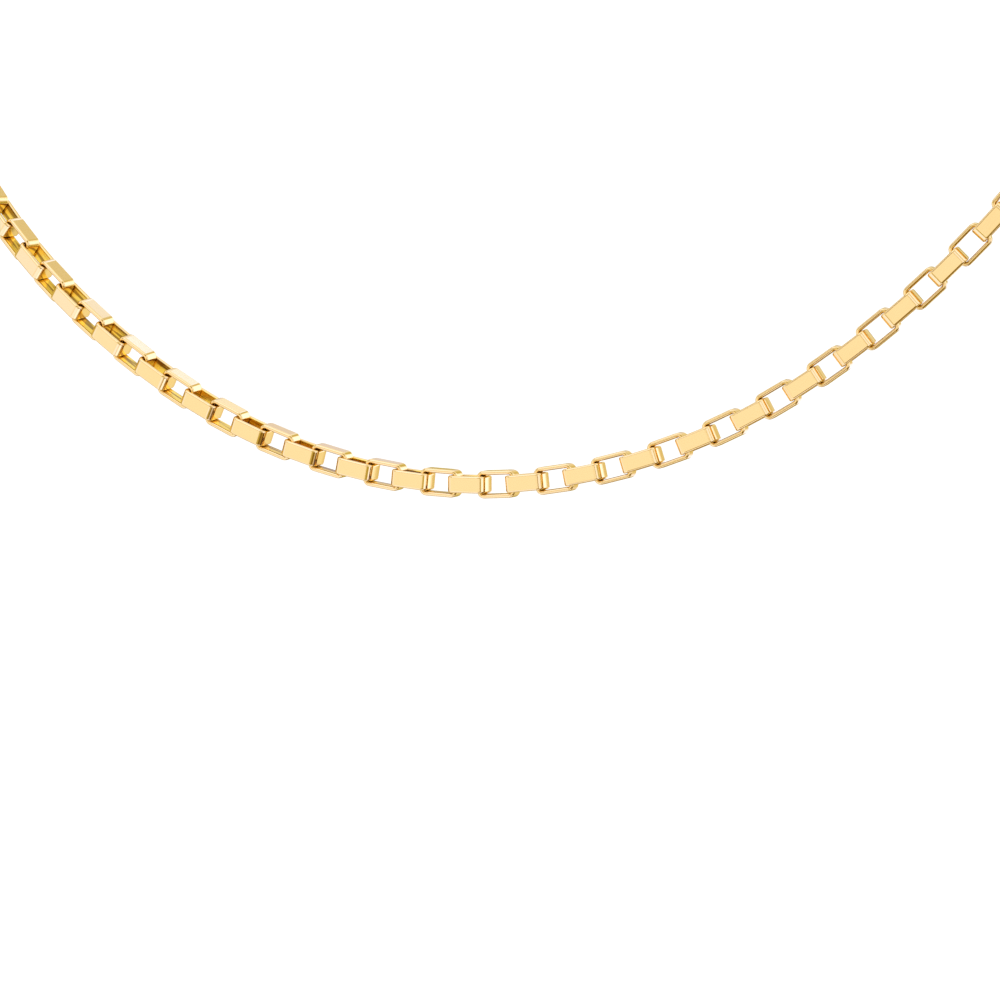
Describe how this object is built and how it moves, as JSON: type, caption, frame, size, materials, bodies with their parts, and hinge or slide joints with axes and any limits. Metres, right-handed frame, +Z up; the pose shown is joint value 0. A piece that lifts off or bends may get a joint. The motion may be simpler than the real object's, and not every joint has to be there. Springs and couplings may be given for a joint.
{
  "type": "box chain necklace",
  "caption": "Gold box chain necklace: square-cornered links folded from flat strip, each turned a quarter turn from the next, closed by a plain clasp.",
  "frame": {"origin": "on the neck's axis, at the height of the clasp at the nape", "axes": "+Z up along the neck, -Y to the wearer's front, +X to the right as seen from the front"},
  "size_m": [0.1518, 0.0989, 0.086],
  "materials": {
    "gold_links": "polished yellow gold plate over brass",
    "gold_clasp": "polished yellow gold plate over brass"
  },
  "bodies": {
    "root": {"chain": "gold_links", "clasp": "gold_clasp"}
  },
  "joints": []
}
